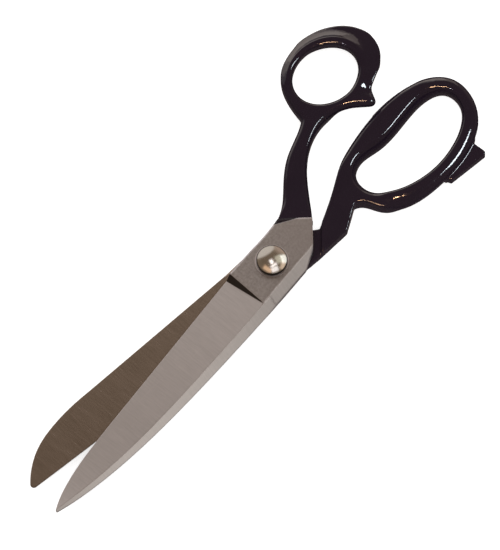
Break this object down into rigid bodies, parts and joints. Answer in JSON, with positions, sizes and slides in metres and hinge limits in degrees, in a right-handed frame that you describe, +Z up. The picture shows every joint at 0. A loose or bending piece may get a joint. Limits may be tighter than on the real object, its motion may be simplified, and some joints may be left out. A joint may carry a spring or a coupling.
{
  "type": "fabric shears",
  "caption": "Bent-handled tailor's shears: ground steel blades on a domed pivot screw, a small thumb ring and a long finger bow with a table foot.",
  "frame": {"origin": "on the pivot axis, in the plane that the shears rest on when they lie flat", "axes": "+X from the pivot towards the blade tips, +Y towards the finger bow's table foot, +Z up out of the domed screw head"},
  "size_m": [0.2548, 0.0892, 0.0173],
  "materials": {
    "ground_steel": "fine ground, grain across the blade",
    "black_enamel": "gloss stoved enamel",
    "polished_nickel": "polished",
    "bright_steel": "bright turned"
  },
  "bodies": {
    "finger_half": {"finger_blade": "ground_steel", "finger_bow": "black_enamel", "pivot_screw": "polished_nickel", "head_washer": "bright_steel", "nut_washer": "bright_steel", "pivot_nut": "bright_steel"},
    "thumb_half": {"thumb_blade": "ground_steel", "thumb_bow": "black_enamel"}
  },
  "joints": [
    {"name": "pivot", "type": "hinge", "parent": "finger_half", "child": "thumb_half", "pos_m": [0, 0, 0.008], "axis": [0, 0, 1], "range_deg": [-5.4, 95]}
  ]
}
